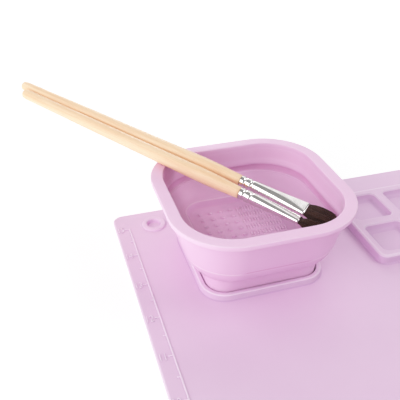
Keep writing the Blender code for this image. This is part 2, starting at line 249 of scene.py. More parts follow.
class Nodes:
    """Short calls that build one material's node tree."""

    def __init__(self, name):
        self.material = bpy.data.materials.new(name)
        self.material.use_nodes = True
        self.tree = self.material.node_tree
        self.shader = self.tree.nodes["Principled BSDF"]

    def new(self, kind, **values):
        node = self.tree.nodes.new(kind)
        for key, value in values.items():
            setattr(node, key, value)
        return node

    def join(self, output, socket):
        self.tree.links.new(output, socket)

    def place(self, stretch=(1.0, 1.0, 1.0)):
        """Object coordinates, stretched along each axis."""
        coordinate = self.new("ShaderNodeTexCoord")
        mapping = self.new("ShaderNodeMapping")
        mapping.inputs["Scale"].default_value = stretch
        self.join(coordinate.outputs["Object"], mapping.inputs["Vector"])
        return mapping.outputs["Vector"]

    def noise(self, vector, scale, detail=3.0, rough=0.5, distortion=0.0):
        node = self.new("ShaderNodeTexNoise")
        node.inputs["Scale"].default_value = scale
        node.inputs["Detail"].default_value = detail
        node.inputs["Roughness"].default_value = rough
        node.inputs["Distortion"].default_value = distortion
        self.join(vector, node.inputs["Vector"])
        return node.outputs["Fac"]

    def ramp(self, value, low, high, out_low=0.0, out_high=1.0):
        node = self.new("ShaderNodeMapRange")
        limits = (("From Min", low), ("From Max", high), ("To Min", out_low), ("To Max", out_high))
        for key, number in limits:
            node.inputs[key].default_value = number
        self.join(value, node.inputs["Value"])
        return node.outputs["Result"]

    def math(self, operation, first, second):
        node = self.new("ShaderNodeMath", operation=operation)
        for socket, value in zip(node.inputs, (first, second)):
            if isinstance(value, (int, float)):
                socket.default_value = value
            else:
                self.join(value, socket)
        return node.outputs[0]

    def mix(self, factor, first, second):
        """Colour that goes from first to second; each is a colour or a socket."""
        node = self.new("ShaderNodeMix", data_type="RGBA")
        pairs = ((node.inputs["Factor"], factor), (node.inputs[6], first), (node.inputs[7], second))
        for socket, value in pairs:
            if isinstance(value, (int, float)):
                socket.default_value = value
            elif isinstance(value, tuple):
                socket.default_value = (*value, 1.0)
            else:
                self.join(value, socket)
        return node.outputs[2]

    def bump(self, height, distance, strength, before=None):
        node = self.new("ShaderNodeBump")
        node.inputs["Distance"].default_value = distance
        node.inputs["Strength"].default_value = strength
        self.join(height, node.inputs["Height"])
        if before is not None:
            self.join(before, node.inputs["Normal"])
        return node.outputs["Normal"]

    def finish(self, colour, roughness, normal, **constants):
        self.join(colour, self.shader.inputs["Base Color"])
        self.join(roughness, self.shader.inputs["Roughness"])
        self.join(normal, self.shader.inputs["Normal"])
        for key, value in constants.items():
            self.shader.inputs[key.replace("_", " ")].default_value = value
        return self.material


def silicone(name, pale, deep, edge, crease_shade):
    """Satin silicone: faint mottling, a painted highlight on edges, painted shade in creases, grain, scuffs
    and dust.
    """
    n = Nodes(name)
    place = n.place()
    mottle = n.ramp(n.noise(place, 22.0, 4.0, 0.55), 0.35, 0.65)
    colour = n.mix(mottle, pale, deep)
    # Convex edges get a painted highlight in the edge colour, and hollows get painted shade in the crease
    # colour (the hidden mask), both by pointiness
    bend = n.new("ShaderNodeNewGeometry").outputs["Pointiness"]
    moulded = n.new("ShaderNodeAttribute", attribute_name="moulded").outputs["Fac"]
    painted_highlight = n.math("MULTIPLY", n.ramp(bend, *HIGHLIGHT_BEND), moulded)
    hidden = n.math("MULTIPLY", n.ramp(bend, *SHADE_BEND), moulded)
    # The tone attribute adds painted shade above zero and a painted highlight below zero
    tone = n.new("ShaderNodeAttribute", attribute_name="tone").outputs["Fac"]
    hidden = n.math("MAXIMUM", hidden, tone)
    painted_highlight = n.math("MAXIMUM", painted_highlight, n.math("MULTIPLY", tone, -1.0))
    colour = n.mix(painted_highlight, colour, edge)
    colour = n.mix(hidden, colour, crease_shade)
    scuffs = n.ramp(n.noise(n.place((1.0, 9.0, 3.0)), 120.0, 5.0, 0.7, 1.2), 0.66, 0.74)
    colour = n.mix(n.math("MULTIPLY", scuffs, SCUFF_SHARE), colour, SCUFF_COLOUR)
    dust = n.ramp(n.noise(place, 900.0, 1.0, 0.3), 0.80, 0.84)
    colour = n.mix(n.math("MULTIPLY", dust, DUST_SHARE), colour, DUST_COLOUR)
    roughness = n.ramp(n.noise(place, 160.0, 3.0, 0.6), 0.3, 0.7, 0.46, 0.58)
    roughness = n.math("ADD", roughness, n.math("MULTIPLY", scuffs, 0.10))
    soft = n.bump(n.noise(place, 45.0, 2.0, 0.4), 0.25 * MM, 0.25)
    grain = n.bump(n.noise(place, 2600.0, 2.0, 0.6), 0.02 * MM, 0.35, soft)
    return n.finish(colour, roughness, grain, Specular_IOR_Level=0.5, IOR=1.5)


def birch(name):
    """Pale varnished wood: grain along the handle, short pores and slightly orange rings."""
    n = Nodes(name)
    rings = n.ramp(n.noise(n.place((14.0, 260.0, 520.0)), 1.0, 4.0, 0.65, 0.6), 0.36, 0.64)
    colour = n.mix(rings, WOOD_PALE, WOOD_DEEP)
    fibre = n.ramp(n.noise(n.place((30.0, 1100.0, 1100.0)), 1.0, 5.0, 0.75), 0.42, 0.66)
    colour = n.mix(n.math("MULTIPLY", fibre, FIBRE_SHARE), colour, FIBRE_COLOUR)
    pores = n.ramp(n.noise(n.place((260.0, 5200.0, 5200.0)), 1.0, 2.0, 0.5), 0.66, 0.72)
    colour = n.mix(n.math("MULTIPLY", pores, PORE_SHARE), colour, PORE_COLOUR)
    wear = n.ramp(n.noise(n.place((60.0, 300.0, 300.0)), 1.0, 3.0, 0.6), 0.3, 0.7, 0.34, 0.48)
    relief = n.bump(fibre, 0.03 * MM, 0.25)
    relief = n.bump(pores, 0.03 * MM, -0.25, relief)
    return n.finish(colour, wear, relief, Coat_Weight=0.25, Coat_Roughness=0.22,
                    Specular_IOR_Level=0.45)


def nickel(name):
    """Plated ferrule: drawn lines along its length, soft dents and cloudy finger marks."""
    n = Nodes(name)
    drawn = n.noise(n.place((30.0, 5200.0, 5200.0)), 1.0, 3.0, 0.6)
    cloud = n.ramp(n.noise(n.place(), 260.0, 4.0, 0.6), 0.35, 0.75)
    colour = n.mix(cloud, NICKEL_PALE, NICKEL_DEEP)
    polish = n.ramp(drawn, 0.2, 0.8, 0.08, 0.15)
    roughness = n.math("ADD", polish, n.math("MULTIPLY", cloud, 0.05))
    dents = n.bump(n.noise(n.place(), 120.0, 2.0, 0.4), 0.08 * MM, 0.15)
    lines = n.bump(drawn, 0.006 * MM, 0.3, dents)
    return n.finish(colour, roughness, lines, Metallic=1.0)


def bristle(name):
    """Dark brown hair: every strand a little lighter or darker, with the lighter ones also painted highlight
    streaks, in faint patches.
    """
    n = Nodes(name)
    # Strand tone, where the lighter streaks also stand in as a painted highlight along the hair
    strands_and_highlights = n.ramp(n.noise(n.place((60.0, 2600.0, 2600.0)), 1.0, 4.0, 0.7), 0.42, 0.66)
    colour = n.mix(strands_and_highlights, HAIR_DARK, HAIR_PALE_AND_HIGHLIGHT)
    patches = n.ramp(n.noise(n.place((150.0, 500.0, 500.0)), 1.0, 2.0, 0.5), 0.45, 0.75)
    colour = n.mix(n.math("MULTIPLY", patches, PATCH_SHARE), colour, PATCH_COLOUR)
    roughness = n.ramp(strands_and_highlights, 0.0, 1.0, 0.38, 0.55)
    relief = n.bump(strands_and_highlights, 0.05 * MM, 0.4)
    return n.finish(colour, roughness, relief, Specular_IOR_Level=0.25)


def glue(name):
    """Amber epoxy with small bubbles."""
    n = Nodes(name)
    bubbles = n.ramp(n.noise(n.place(), 1500.0, 2.0, 0.5), 0.55, 0.7)
    colour = n.mix(bubbles, (0.42, 0.27, 0.10), (0.60, 0.45, 0.24))
    roughness = n.ramp(bubbles, 0.0, 1.0, 0.25, 0.55)
    return n.finish(colour, roughness, n.bump(bubbles, 0.1 * MM, 0.4))


def painted_floor(name):
    """Matt white studio table with a barely visible unevenness."""
    n = Nodes(name)
    cloud = n.noise(n.place(), 3.0, 3.0, 0.5)
    colour = n.mix(cloud, (0.93, 0.93, 0.93), (0.95, 0.95, 0.95))
    roughness = n.ramp(cloud, 0.0, 1.0, 0.75, 0.85)
    grain = n.bump(n.noise(n.place(), 400.0, 2.0, 0.5), 0.05 * MM, 0.1)
    return n.finish(colour, roughness, grain, Specular_IOR_Level=0.2,
                    Emission_Color=(1.0, 1.0, 1.0, 1.0), Emission_Strength=TABLE_GLOW)


# Each edge colour is a painted highlight, and each crease colour is painted shade
MAT_SILICONE = silicone("mat_silicone_look", (0.785, 0.560, 0.755), (0.765, 0.540, 0.735),
                        edge=(0.900, 0.730, 0.880), crease_shade=(0.580, 0.320, 0.590))
CUP_SILICONE = silicone("cup_silicone_look", (0.830, 0.530, 0.755), (0.810, 0.510, 0.735),
                        edge=(0.935, 0.720, 0.870), crease_shade=(0.690, 0.310, 0.550))
BIRCH = birch("birch_look")
NICKEL = nickel("nickel_look")
BRISTLE = bristle("bristle_look")
GLUE = glue("glue_look")
FLOOR_WHITE = painted_floor("floor_look")


# ---------------------------------------------------------------- shape helpers

CUT_SHARE = 0.48                     # the largest share of a side that a softened corner takes
ROUND_SHARE = 0.45                   # the same for a rounded corner of a flat loop
SHARPEST_MITRE = 0.6                 # keeps a very sharp corner from moving far
MERGE_REACH = 1e-6                   # millimetres within which points are one


def rounded_rectangle(centre, half_x, half_y, radius, z, steps=CORNER_STEPS):
    """Points of a rounded rectangle, counter-clockwise seen from above."""
    points = []
    for side_x, side_y, start in ((1, 1, 0), (-1, 1, 90), (-1, -1, 180), (1, -1, 270)):
        arc_x = centre[0] + side_x * (half_x - radius)
        arc_y = centre[1] + side_y * (half_y - radius)
        for step in range(steps + 1):
            angle = math.radians(start + 90.0 * step / steps)
            x = arc_x + radius * math.cos(angle)
            y = arc_y + radius * math.sin(angle)
            points.append(Vector((x, y, z)))
    return points


def circle(centre, radius, z):
    points = []
    for step in range(CIRCLE_STEPS):
        angle = 2 * math.pi * step / CIRCLE_STEPS
        x = centre[0] + radius * math.cos(angle)
        y = centre[1] + radius * math.sin(angle)
        points.append(Vector((x, y, z)))
    return points


def soften(profile, reach, steps=4):
    """A profile whose inner corners are cut back by up to reach and replaced with short curves."""
    points = [np.array(point, float) for point in profile]
    smooth = [points[0]]
    for before, corner, after in zip(points, points[1:], points[2:]):
        to_before = before - corner
        to_after = after - corner
        cut_before = min(reach, CUT_SHARE * np.linalg.norm(to_before))
        cut_after = min(reach, CUT_SHARE * np.linalg.norm(to_after))
        first = corner + to_before / np.linalg.norm(to_before) * cut_before
        last = corner + to_after / np.linalg.norm(to_after) * cut_after
        for step in range(steps + 1):
            t = step / steps
            smooth.append((1 - t) ** 2 * first + 2 * t * (1 - t) * corner + t * t * last)
    smooth.append(points[-1])
    return smooth


def spline(points, steps):
    """A smooth curve through points of any number of values, in equal steps within each span."""
    points = np.array(points, float)
    gaps = np.linalg.norm(np.diff(points, axis=0), axis=1)
    slopes = np.diff(points, axis=0) / gaps[:, None]
    tangents = np.empty_like(points)
    tangents[0] = slopes[0]
    tangents[-1] = slopes[-1]
    for k in range(1, len(points) - 1):
        tangents[k] = (slopes[k - 1] * gaps[k] + slopes[k] * gaps[k - 1]) / (gaps[k - 1] + gaps[k])
    curve = []
    for k, gap in enumerate(gaps):
        for step in range(steps):
            t = step / steps
            curve.append((2 * t ** 3 - 3 * t ** 2 + 1) * points[k]
                         + (t ** 3 - 2 * t ** 2 + t) * gap * tangents[k]
                         + (3 * t ** 2 - 2 * t ** 3) * points[k + 1]
                         + (t ** 3 - t ** 2) * gap * tangents[k + 1])
    curve.append(points[-1])
    return curve


def offset_loop(points, distance):
    """A closed flat loop moved to its left: inwards for a counter-clockwise loop."""
    moved = []
    count = len(points)
    for index, point in enumerate(points):
        into = (point - points[index - 1]).to_2d().normalized()
        out = (points[(index + 1) % count] - point).to_2d().normalized()
        normal = Vector((-(into.y + out.y), into.x + out.x))
        scale = 2.0 / max(normal.length_squared, SHARPEST_MITRE)
        x = point.x + normal.x * scale * distance
        y = point.y + normal.y * scale * distance
        moved.append(Vector((x, y, point.z)))
    return moved


def at_height(points, z):
    return [Vector((point.x, point.y, z)) for point in points]


def add_loop(bm, points):
    return [bm.verts.new(point) for point in points]


def start_mesh():
    """An empty mesh whose faces also hold how much painted edge highlight and crease shade show, and their
    tone:
    above zero for painted shade in a recess, below zero for a painted highlight on raised parts."""
    bm = bmesh.new()
    bm.faces.layers.float.new("moulded")
    bm.faces.layers.float.new("tone")
    return bm


def bridge(bm, loops, closed=False, moulded=1.0, tone=0.0):
    """Smooth faces between neighbouring loops of equal counts."""
    moulded_layer = bm.faces.layers.float["moulded"]
    tone_layer = bm.faces.layers.float["tone"]
    pairs = list(zip(loops, loops[1:]))
    if closed:
        pairs.append((loops[-1], loops[0]))
    for first, second in pairs:
        for index in range(len(first)):
            after = (index + 1) % len(first)
            face = bm.faces.new((first[index], first[after], second[after], second[index]))
            face.smooth = True
            face[moulded_layer] = moulded
            face[tone_layer] = tone


def skin(bm, rings, closed=False, moulded=1.0, tone=0.0):
    """Adds rings of points and the faces between them, and returns the first and last loop."""
    loops = [add_loop(bm, ring) for ring in rings]
    bridge(bm, loops, closed, moulded, tone)
    return loops[0], loops[-1]


def fill_flat(bm, loops, tone=0.0):
    """Fills the flat area between closed loops: inside the outer one, outside the next ones in."""
    tone_layer = bm.faces.layers.float["tone"]
    verts = [vert for loop in loops for vert in loop]
    edges = []
    for loop in loops:
        first = len(edges)
        edges += [(first + k, first + (k + 1) % len(loop)) for k in range(len(loop))]
    flat = np.array([(vert.co.x / MM, vert.co.y / MM) for vert in verts])
    result = delaunay_2d_cdt([Vector(point) for point in flat], edges, [], 0, MERGE_REACH)
    triangles, originals = result[2], result[3]
    starts = flat[[a for a, b in edges]]
    ends = flat[[b for a, b in edges]]
    for triangle in triangles:
        corners = [originals[k][0] for k in triangle]
        x, y = flat[corners].mean(axis=0)
        crosses = (starts[:, 1] > y) != (ends[:, 1] > y)
        spans = ends[crosses] - starts[crosses]
        at = starts[crosses][:, 0] + (y - starts[crosses][:, 1]) / spans[:, 1] * spans[:, 0]
        if np.count_nonzero(at > x) % 2:
            face = bm.faces.new([verts[k] for k in corners])
            face.smooth = False
            face[tone_layer] = tone


def cap(bm, loop, up):
    """A flat lid over one loop."""
    bm.faces.new(loop if up else loop[::-1]).smooth = False


def make_piece(name, bm, material, replaced, sharp=None, matrix=None):
    """A finished piece in the scene; it still has to ride on a body."""
    mesh = bpy.data.meshes.new(name)
    bm.to_mesh(mesh)
    bm.free()
    mesh.materials.append(material)
    if sharp is not None:
        mesh.set_sharp_from_angle(angle=math.radians(sharp))
    piece = bpy.data.objects.new(name, mesh)
    bpy.context.scene.collection.objects.link(piece)
    if matrix is not None:
        piece.matrix_world = matrix
    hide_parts(*replaced)
    return piece


# ---------------------------------------------------------------- mat

def polygon_corners_rounded(points, radius, steps=3):
    """A flat loop with each corner rounded off."""
    rounded = []
    count = len(points)
    for index, corner in enumerate(points):
        before = points[index - 1] - corner
        after = points[(index + 1) % count] - corner
        reach = min(radius, ROUND_SHARE * before.length, ROUND_SHARE * after.length)
        first = corner + before.normalized() * reach
        last = corner + after.normalized() * reach
        for step in range(steps + 1):
            t = step / steps
            rounded.append((1 - t) ** 2 * first + 2 * t * (1 - t) * corner + t * t * last)
    return rounded


def ruler_outline():
    """The measuring line with its ticks, as one comb-shaped loop."""
    right = RULER_X + RULER_LINE / 2
    left = RULER_X - RULER_LINE / 2
    bottom = RULER_TOP_Y - RULER_INCHES * INCH
    last_tick = 2 * RULER_INCHES
    points = [(right, bottom), (right, RULER_TOP_Y)]
    for half_inch in range(last_tick + 1):
        y = RULER_TOP_Y - half_inch * INCH / 2
        tip = RULER_X - (INCH_TICK if half_inch % 2 == 0 else HALF_TICK)
        back, front = y + TICK_WIDTH / 2, y - TICK_WIDTH / 2
        if half_inch == 0:
            back, front = y, y - TICK_WIDTH
        if half_inch == last_tick:
            back, front = y + TICK_WIDTH, y
        tick = [(left, back), (tip, back), (tip, front), (left, front)]
        if half_inch == 0:
            tick = tick[1:]
        if half_inch == last_tick:
            tick = tick[:-1]
        points += tick
    return [Vector((x, y, SHEET_TOP)) for x, y in points]


def emboss(bm, loops, height, edge, corner=0.0, tone=PRINT_HIGHLIGHT):
    """Raises a flat shape off the sheet with soft edges; returns its loops on the sheet."""
    profile = [(0.0, 0.0), (0.15 * edge, 0.45 * height), (0.45 * edge, 0.85 * height),
               (edge, height)]
    feet, tops = [], []
    for loop in loops:
        rings = []
        for inset, rise in profile:
            ring = at_height(offset_loop(loop, inset), SHEET_TOP + rise)
            if corner:
                ring = polygon_corners_rounded(ring, max(corner - inset, PRINT_LEAST_CORNER))
            rings.append(add_loop(bm, ring))
        # Painted shade along the foot of the raised shape, and a painted highlight on its sides and top
        bridge(bm, rings[:2], moulded=0.0, tone=PRINT_FOOT_SHADE)
        bridge(bm, rings[1:], moulded=0.0, tone=tone)
        feet.append(rings[0])
        tops.append(rings[-1])
    fill_flat(bm, tops, tone)
    return feet


def numeral_loops(text, centre_x, centre_y):
    """Outlines of a number, outer ones counter-clockwise and holes clockwise."""
    curve = bpy.data.curves.new("numeral", "FONT")
    curve.body = text
    curve.fill_mode = "NONE"
    curve.resolution_u = NUMERAL_CURVE_STEPS
    curve.offset = NUMERAL_BOLDNESS
    curve.space_character = NUMERAL_SPACING
    writer = bpy.data.objects.new("numeral", curve)
    bpy.context.scene.collection.objects.link(writer)
    drawn = writer.evaluated_get(bpy.context.evaluated_depsgraph_get())
    shape = bpy.data.meshes.new_from_object(drawn)
    points = [vert.co.to_2d() for vert in shape.vertices]
    neighbours = {k: [] for k in range(len(points))}
    for edge in shape.edges:
        a, b = edge.vertices
        neighbours[a].append(b)
        neighbours[b].append(a)
    low = Vector((min(p.x for p in points), min(p.y for p in points)))
    high = Vector((max(p.x for p in points), max(p.y for p in points)))
    middle = (low + high) / 2
    scale = NUMERAL_HEIGHT / (high.y - low.y)
    loops, unseen = [], set(neighbours)
    while unseen:
        start = min(unseen)
        walk, previous, current = [], None, start
        while current in unseen:
            unseen.discard(current)
            walk.append(current)
            ahead = [k for k in neighbours[current] if k != previous and k in unseen]
            previous = current
            current = ahead[0] if ahead else start
        loop = []
        for k in walk:
            point = Vector((centre_x + (points[k].x - middle.x) * scale * NUMERAL_SQUEEZE,
                            centre_y + (points[k].y - middle.y) * scale, SHEET_TOP))
            if not loop or (point - loop[-1]).length > NUMERAL_POINT_GAP:
                loop.append(point)
        if (loop[0] - loop[-1]).length < NUMERAL_POINT_GAP:
            loop.pop()
        loops.append(loop)
    bpy.data.objects.remove(writer)
    bpy.data.meshes.remove(shape)
    return oriented(loops)


def signed_area(loop):
    return sum(a.x * b.y - b.x * a.y for a, b in zip(loop, loop[1:] + loop[:1])) / 2


def inside(point, loop):
    crossings = 0
    for a, b in zip(loop, loop[1:] + loop[:1]):
        if (a.y > point.y) != (b.y > point.y):
            if a.x + (point.y - a.y) / (b.y - a.y) * (b.x - a.x) > point.x:
                crossings += 1
    return crossings % 2 == 1


def oriented(loops):
    turned = []
    for loop in loops:
        depth = sum(inside(loop[0], other) for other in loops if other is not loop)
        wants_left_turn = depth % 2 == 0
        turned.append(loop if (signed_area(loop) > 0) == wants_left_turn else loop[::-1])
    return turned


def add_eyelet(bm):
    """A round ring with a shallow dish inside it, where a hole can be cut for hanging."""
    profile = [(8.2, 2.0), (7.6, 2.0), (7.4, 2.04), (7.25, 2.2), (7.1, 2.55), (6.9, 2.82),
               (6.6, 2.96), (6.2, 3.0), (4.9, 3.0), (4.55, 2.95), (4.3, 2.8), (4.12, 2.5),
               (4.0, 2.0), (3.9, 1.5), (3.75, 1.15), (3.5, 1.02), (3.2, 1.0), (2.8, 1.0)]
    rings = [circle(EYELET_CENTRE, radius * MM, height * MM) for radius, height in profile]
    foot, dish = skin(bm, rings, moulded=SOFT_EDGE_SHADING)
    fill_flat(bm, [dish])
    return [foot]


def add_socket(bm):
    """The raised rounded-square ring that holds the cup's foot."""
    profile = [(35.2, 14.4, 2.0), (34.35, 13.6, 2.0), (34.1, 13.4, 2.03), (33.92, 13.2, 2.15),
               (33.82, 13.0, 2.6), (33.7, 13.0, 4.8), (33.62, 12.9, 5.35), (33.5, 12.8, 5.6),
               (33.3, 12.6, 5.76), (33.05, 12.4, 5.8), (31.7, 11.2, 5.8), (31.4, 10.9, 5.74),
               (31.15, 10.7, 5.55), (31.0, 10.5, 5.15), (30.95, 10.5, 4.6), (30.9, 10.5, 3.0),
               (30.8, 10.4, 2.4), (30.55, 10.2, 2.1), (30.2, 9.9, 2.0), (29.6, 9.4, 2.0)]
    rings = [rounded_rectangle(CUP_CENTRE, half * MM, half * MM, corner * MM, height * MM)
             for half, corner, height in profile]
    loops = [add_loop(bm, ring) for ring in rings]
    # Painted shade along the foot line and on the wall, and a painted highlight over the lip
    bridge(bm, loops[:SOCKET_FOOT + 1])
    bridge(bm, loops[SOCKET_FOOT:SOCKET_WALL + 1], moulded=0.0, tone=FOOT_LINE_SHADE)
    bridge(bm, loops[SOCKET_WALL:SOCKET_LIP + 1], moulded=FAINT_EDGE_SHADING, tone=SOCKET_SHADE)
    bridge(bm, loops[SOCKET_LIP:SOCKET_TOP + 1], moulded=SOFT_EDGE_SHADING, tone=LIP_HIGHLIGHT)
    bridge(bm, loops[SOCKET_TOP:], moulded=SOFT_EDGE_SHADING)
    return [loops[0], loops[-1]]


def well_rectangles():
    """Centre and half sizes of each well: two rows of small wells, then one long well a row."""
    rectangles = []
    pitch = WELL_SIZE + WELL_WALL
    for row in range(WELL_ROWS):
        centre_y = BLOCK_BACK - BLOCK_MARGIN - row * pitch - WELL_SIZE / 2
        left = BLOCK_LEFT + BLOCK_MARGIN
        for length in [WELL_SIZE] * WELL_COLUMNS + [MIXING_WELL_LENGTH]:
            rectangles.append(((left + length / 2, centre_y), length / 2, WELL_SIZE / 2))
            left += length + WELL_WALL
    return rectangles


def add_block(bm):
    """The raised block with its paint wells."""
    pitch = WELL_SIZE + WELL_WALL
    length = 2 * BLOCK_MARGIN + WELL_COLUMNS * pitch + MIXING_WELL_LENGTH
    width = 2 * BLOCK_MARGIN + WELL_ROWS * pitch - WELL_WALL
    centre = (BLOCK_LEFT + length / 2, BLOCK_BACK - width / 2)
    top = (SHEET_TOP + BLOCK_HEIGHT) / MM
    # Inset from the block's outline and height
    outside = [(-1.3, 2.0), (-0.35, 2.0), (-0.15, 2.06), (0.0, 2.3), (0.08, 2.8), (0.25, 4.8),
               (0.36, 6.0), (0.48, 6.4), (0.7, 6.72), (1.0, 6.93), (1.4, top), (1.9, top)]
    rings = [rounded_rectangle(centre, length / 2 - inset * MM, width / 2 - inset * MM,
                               BLOCK_CORNER - inset * MM, height * MM) for inset, height in outside]
    loops = [add_loop(bm, ring) for ring in rings]
    # Painted shade on the block's sides and a painted highlight on its top edge
    bridge(bm, loops[:BLOCK_LIP + 1], tone=WELL_SHADE)
    bridge(bm, loops[BLOCK_LIP:], tone=LIP_HIGHLIGHT)
    foot, top_loop = loops[0], loops[-1]
    rims = []
    # Inset from the well's mouth and drop below the block's top
    well = [(-0.9, 0.0), (-0.5, 0.0), (-0.28, 0.05), (-0.1, 0.2), (0.02, 0.5), (0.25, 1.2),
            (0.75, 2.3), (1.15, 3.05), (1.6, 3.6), (2.2, 4.0), (2.9, 4.17), (3.5, 4.2),
            (4.2, 4.2)]
    for middle, half_x, half_y in well_rectangles():
        loops = []
        for inset, drop in well:
            corner = max(WELL_CORNER - WELL_CORNER_TIGHTENING * inset * MM, WELL_LEAST_CORNER)
            ring = rounded_rectangle(middle, half_x - inset * MM, half_y - inset * MM, corner,
                                     (top - drop) * MM, WELL_CORNER_STEPS)
            loops.append(add_loop(bm, ring))
        # Painted highlight on each well's lip, and painted shade on its walls and floor
        bridge(bm, loops[:WELL_BRIM + 1])
        bridge(bm, loops[WELL_BRIM:WELL_LIP + 1], tone=LIP_HIGHLIGHT)
        bridge(bm, loops[WELL_LIP:], tone=WELL_SHADE)
        fill_flat(bm, [loops[-1]], WELL_FLOOR_SHADE)
        rims.append(loops[0])
    fill_flat(bm, [top_loop] + rims)
    return [foot]


def make_mat():
    bm = start_mesh()
    # Inset from the edge and height: a rolled edge all round the sheet
    edge = [(0.9, 0.0), (0.45, 0.05), (0.15, 0.25), (0.0, 0.6), (0.0, 1.2), (0.12, 1.55),
            (0.32, 1.8), (0.6, 1.94), (0.95, 2.0), (1.25, 2.0)]
    rings = [rounded_rectangle((0.0, 0.0), MAT_LENGTH / 2 - inset * MM, MAT_WIDTH / 2 - inset * MM,
                               MAT_CORNER - inset * MM, height * MM) for inset, height in edge]
    under, rim = skin(bm, rings)
    cap(bm, under, up=False)
    loops = [rim] + emboss(bm, [ruler_outline()], PRINT_HEIGHT, PRINT_EDGE, PRINT_CORNER)
    for number in range(RULER_INCHES + 1):
        y = RULER_TOP_Y - (RULER_INCHES - number) * INCH
        if number == RULER_INCHES:
            y -= TICK_WIDTH / 2
        if number == 0:
            y += TICK_WIDTH / 2
        numeral = numeral_loops(str(number), NUMERAL_X, y)
        # Numerals get a stronger painted highlight
        loops += emboss(bm, numeral, PRINT_HEIGHT, NUMERAL_EDGE, tone=NUMERAL_HIGHLIGHT)
    loops += add_eyelet(bm)
    loops += add_socket(bm)
    loops += add_block(bm)
    fill_flat(bm, loops)
    mat = make_piece("silicone_mat", bm, MAT_SILICONE, ["mat"])
    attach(mat, "mat")


# ---------------------------------------------------------------- cup
# Profiles list half width, corner radius and height above the sheet, in millimetres

FOOT_INSIDE = [(26.0, 6.5, 12.8), (27.2, 7.0, 11.6), (27.4, 7.0, 0.6), (27.7, 7.2, 0.3)]
FOOT_OUTSIDE = [(27.9, 7.5, 0.3), (29.8, 9.4, 0.3), (30.4, 10.0, 1.2), (30.9, 11.5, 6.0),
                (31.45, 13.6, 10.6), (31.7, 14.4, 12.0), (32.2, 14.7, 12.15)]
HIDDEN_TOP = [(32.0, 14.4, 12.5), (29.75, 11.5, 19.5)]
PAN_INSIDE = [(29.7, 11.6, 20.0), (29.3, 11.3, 19.9), (28.9, 11.0, 19.3), (28.2, 10.3, 17.4),
              (27.6, 9.7, 16.4), (26.8, 9.0, 16.05), (26.0, 8.4, 16.0), (25.5, 8.0, 16.0)]
OUTSIDE = [(32.2, 14.7, 12.15), (33.9, 16.2, 12.9), (36.4, 19.0, 15.0), (38.7, 21.8, 18.2),
           (40.3, 23.8, 21.8), (41.2, 25.0, 24.8), (42.4, 26.6, 30.0), (43.6, 27.8, 35.0),
           (44.9, 28.8, 40.5), (45.3, 29.1, 41.8)]
OUTER_SPLIT = 4                      # the span of OUTSIDE where the fold ends and the wall begins
RIM = [(45.3, 29.1, 41.8), (45.7, 29.4, 42.5), (48.6, 32.1, 42.5), (48.6, 32.1, 45.3),
       (42.1, 25.1, 45.3), (41.9, 25.0, 44.2)]
INSIDE = [(41.9, 25.0, 44.2), (41.6, 25.1, 36.2), (41.35, 25.2, 34.8), (41.15, 25.4, 32.6),
          (41.25, 25.6, 32.1), (41.8, 26.7, 31.75), (42.05, 27.3, 31.2), (42.05, 27.5, 29.2),
          (41.9, 27.4, 28.5), (41.4, 27.1, 28.15), (40.7, 26.8, 28.1)]
SHOULDER = [(40.7, 26.8, 28.1), (40.2, 26.4, 27.8), (39.5, 25.5, 27.0), (38.3, 23.7, 25.8),
            (34.8, 19.0, 23.0), (31.6, 14.1, 20.55), (30.3, 12.3, 20.15), (29.7, 11.6, 20.0)]
HIDDEN_BACK = [(40.9, 26.0, 26.6), (41.0, 25.2, 25.0), (40.6, 24.6, 22.6)]
GROOVE_LOW = 28.25                   # the shaded part of the inside, by height
GROOVE_HIGH = 31.9
GROOVE_SHADE = 0.45
INSIDE_TOP = 43.0                    # the wall painted slightly paler, as painted light, from the groove up to here
INSIDE_LIGHT = -0.15
FOLD_THICKNESS = 0.7
FOLD_EDGE_SHADING = 0.4
SPAN_STEPS = 8
INSIDE_STEPS = 5
PAN_STEPS = 3
RIM_STEPS = 6
RIM_SOFTNESS = 0.9                   # how far corners are cut back, in millimetres
FOOT_SOFTNESS = 0.6
FOOT_INSIDE_SOFTNESS = 0.5
NUB_PITCH = 6.0 * MM
NUB_ROWS = 8
NUB_COLUMNS = 4
NUB_CORNER_STEPS = 3
RIDGE_PITCH = 1.65 * MM
RIDGE_COLUMNS = 13
RIDGE_START = 0.7                    # the first ridge's distance from the middle, in pitches
# Half sizes along X and Y, corner radius and height
NUB_SIZE = (1.1 * MM, 1.1 * MM, 1.09 * MM, 1.0 * MM)
RIDGE_SIZE = (0.45 * MM, 1.8 * MM, 0.44 * MM, 0.8 * MM)


def cup_rings(profile):
    return [rounded_rectangle(CUP_CENTRE, half * MM, half * MM, corner * MM,
                              SHEET_TOP + height * MM) for half, corner, height in profile]


def backed(profile, thickness):
    """A profile and its offset to its right, which together go round a thin shell."""
    points = np.array(profile)
    along = np.gradient(points[:, [0, 2]], axis=0)
    along /= np.linalg.norm(along, axis=1)[:, None]
    hidden = points.copy()
    hidden[:, 0] -= along[:, 1] * thickness
    hidden[:, 1] -= along[:, 1] * thickness
    hidden[:, 2] += along[:, 0] * thickness
    return list(points) + list(hidden[::-1])


def nub(bm, centre, half_x, half_y, radius, height, floor):
    """A raised bump on the cup's floor, for rubbing a brush clean."""
    profile = [(-0.2, 0.0), (-0.07, 0.05), (0.0, 0.2), (0.05, 0.55), (0.16, 0.85), (0.34, 1.0)]
    rings = [rounded_rectangle(centre, half_x - inset * MM, half_y - inset * MM,
                               radius - inset * MM, floor + rise * height, NUB_CORNER_STEPS)
             for inset, rise in profile]
    foot, top = skin(bm, rings, moulded=SOFT_EDGE_SHADING)
    fill_flat(bm, [top])
    return foot


